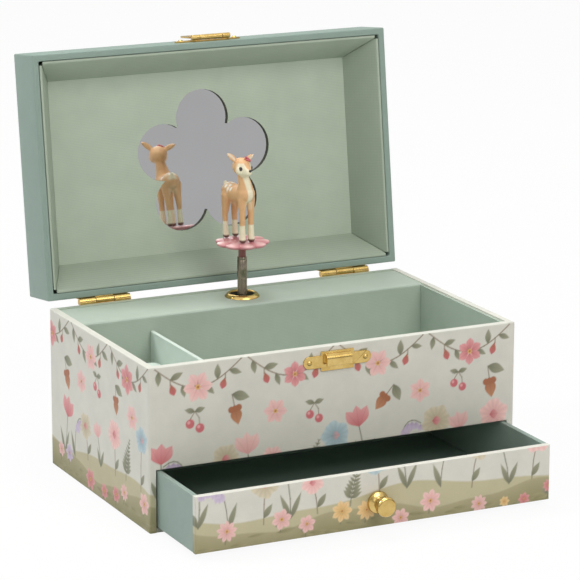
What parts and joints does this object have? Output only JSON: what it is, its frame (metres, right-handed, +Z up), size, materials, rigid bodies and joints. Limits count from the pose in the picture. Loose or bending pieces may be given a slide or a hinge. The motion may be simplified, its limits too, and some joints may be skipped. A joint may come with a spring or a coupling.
{
  "type": "musical jewellery box",
  "caption": "Papered musical jewellery box with a hinged mirror lid, a tray with a ring cushion, a sliding drawer, a hasp and a turning fawn figure that folds under the lid.",
  "frame": {"origin": "middle of the case's underside, on the surface it stands on", "axes": "+X to the right seen from the front, +Y to the back, where the lid is hinged, +Z up"},
  "size_m": [0.19, 0.2121, 0.2022],
  "materials": {
    "printed_board": "printed paper over board",
    "sage_board": "woven sage paper over board",
    "sage_card": "woven sage paper",
    "cushion_cloth": "soft cloth",
    "drawer_board": "sage paper over board",
    "lid_paper_board": "sage paper over board",
    "mirror_glass": "silvered glass",
    "brass": "bright plated",
    "steel": "plain",
    "pink_resin": "satin paint",
    "fawn_resin": "satin paint"
  },
  "bodies": {
    "base": {"base_left_wall": "printed_board", "base_right_wall": "printed_board", "base_bottom_board": "printed_board", "base_front_panel": "printed_board", "base_back_wall": "printed_board", "tray_floor_board": "sage_board", "housing_front_board": "sage_board", "deck_board": "sage_board", "tray_lining": "sage_card", "tray_divider": "sage_board", "ring_cushion": "cushion_cloth", "deck_grommet": "brass", "catch_plate": "brass", "left_hinge_base_leaf": "brass", "right_hinge_base_leaf": "brass", "hinge_pins": "brass", "bedplate": "steel", "music_comb": "steel"},
    "drawer": {"drawer_front": "printed_board", "drawer_left_side": "drawer_board", "drawer_right_side": "drawer_board", "drawer_back": "drawer_board", "drawer_bottom": "drawer_board", "drawer_knob": "brass", "knob_screw": "steel"},
    "lid": {"lid_top_board": "lid_paper_board", "lid_front_wall": "lid_paper_board", "lid_back_wall": "lid_paper_board", "lid_left_wall": "lid_paper_board", "lid_right_wall": "lid_paper_board", "lid_liner": "sage_card", "mirror_board": "sage_card", "mirror": "mirror_glass", "left_hinge_lid_leaf": "brass", "right_hinge_lid_leaf": "brass", "hasp_plate": "brass", "hasp_pin": "brass"},
    "hasp": {"hasp_flap": "brass"},
    "barrel": {"spring_barrel": "brass", "winding_arbor": "steel", "winding_key": "steel"},
    "cylinder": {"cylinder_arbor": "steel", "cylinder_wheel": "brass", "music_cylinder": "brass"},
    "governor": {"governor_wheel": "brass"},
    "fan": {"governor_fan": "steel"},
    "spindle_body": {"spindle": "steel", "spindle_pinion": "brass"},
    "tilt": {"tilt_spring": "steel"},
    "figure": {"figure_stem": "steel", "flower_stand": "pink_resin", "fawn": "fawn_resin"}
  },
  "joints": [
    {"name": "lid_hinge", "type": "hinge", "parent": "base", "child": "lid", "pos_m": [0, 0.0615, 0.0789], "axis": [1, 0, 0], "range_deg": [0, 97.4]},
    {"name": "hasp_swing", "type": "hinge", "parent": "lid", "child": "hasp", "pos_m": [0, 0.07907, 0.20095], "axis": [1, 0, 0], "range_deg": [0, 180]},
    {"name": "drawer_slide", "type": "slide", "parent": "base", "child": "drawer", "axis": [0, -1, 0], "range_m": [-0.0416, 0.045]},
    {"name": "figure_fold", "type": "hinge", "parent": "base", "child": "tilt", "pos_m": [0, 0.043, 0.0832], "axis": [1, 0, 0], "range_deg": [0, 90], "deforming": ["tilt_spring"]},
    {"name": "figure_spin", "type": "hinge", "parent": "tilt", "child": "figure", "pos_m": [0, 0.043, 0.0832], "axis": [0, 0, 1], "continuous": true},
    {"name": "barrel_spin", "type": "hinge", "parent": "base", "child": "barrel", "pos_m": [0, 0.05, 0.052], "axis": [0, 1, 0], "continuous": true},
    {"name": "spindle_spin", "type": "hinge", "parent": "base", "child": "spindle_body", "pos_m": [0, 0.043, 0.07], "axis": [0, 0, 1], "continuous": true},
    {"name": "cylinder_spin", "type": "hinge", "parent": "base", "child": "cylinder", "pos_m": [0.025, 0.043, 0.052], "axis": [1, 0, 0], "continuous": true},
    {"name": "governor_spin", "type": "hinge", "parent": "base", "child": "governor", "pos_m": [0.042, 0.043, 0.0625], "axis": [1, 0, 0], "continuous": true},
    {"name": "fan_spin", "type": "hinge", "parent": "base", "child": "fan", "pos_m": [0.0448, 0.045, 0.06925], "axis": [0, 1, 0], "continuous": true}
  ],
  "couplings": [
    {"joint": "figure_fold", "follows": "lid_hinge", "ratio": 0.924},
    {"joint": "figure_spin", "follows": "barrel_spin", "ratio": -2.4},
    {"joint": "spindle_spin", "follows": "barrel_spin", "ratio": -2.4},
    {"joint": "cylinder_spin", "follows": "barrel_spin", "ratio": -2.4},
    {"joint": "governor_spin", "follows": "barrel_spin", "ratio": 4.8},
    {"joint": "fan_spin", "follows": "barrel_spin", "ratio": 33.6}
  ]
}
